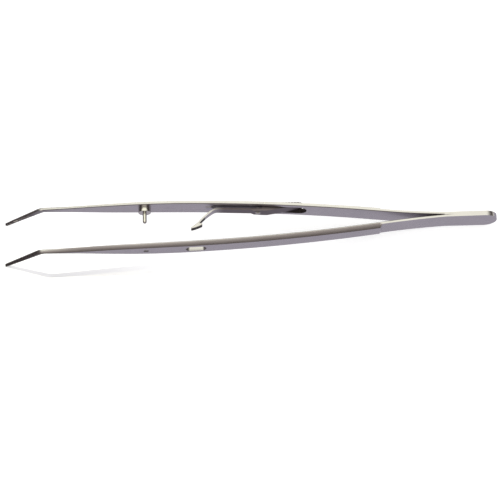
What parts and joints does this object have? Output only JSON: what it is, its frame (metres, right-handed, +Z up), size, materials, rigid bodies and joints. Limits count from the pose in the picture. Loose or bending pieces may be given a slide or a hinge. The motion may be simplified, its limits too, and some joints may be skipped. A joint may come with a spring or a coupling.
{
  "type": "dressing pliers",
  "caption": "Slim spring forceps with bent tips, a guide pin and a lock lever whose hook latches the two arms shut.",
  "frame": {"origin": "on the resting surface, under the middle of the pliers' length and width", "axes": "+X along the tool towards the welded heel, +Y from the lower arm to the upper arm that carries the lever, +Z up from the surface that the tips and the heel's edge rest on"},
  "size_m": [0.1556, 0.0158, 0.0125],
  "materials": {
    "arm_steel": "satin ground and polished stainless steel",
    "pin_steel": "turned stainless steel",
    "lever_steel": "ground stainless steel",
    "spring_steel": "rolled spring steel strip"
  },
  "bodies": {
    "lower_arm_body": {"lower_arm": "arm_steel"},
    "upper_arm_body": {"upper_arm": "arm_steel", "guide_pin": "pin_steel", "pivot_pin": "pin_steel"},
    "lever_body": {"lock_lever": "lever_steel", "spring_rivet": "pin_steel", "leaf_spring": "spring_steel"}
  },
  "joints": [
    {"name": "squeeze", "type": "hinge", "parent": "lower_arm_body", "child": "upper_arm_body", "pos_m": [0.06158, 0, 0.00467], "axis": [0.0471, 0, 0.9989], "range_deg": [0, 5.42], "stiffness_Nm_per_rad": 4.5},
    {"name": "lock", "type": "hinge", "parent": "upper_arm_body", "child": "lever_body", "pos_m": [0.00498, 0.00592, 0.00733], "axis": [0.0471, 0, 0.9989], "range_deg": [-2.8, 1.5], "stiffness_Nm_per_rad": 0.3, "deforming": ["leaf_spring"]}
  ]
}
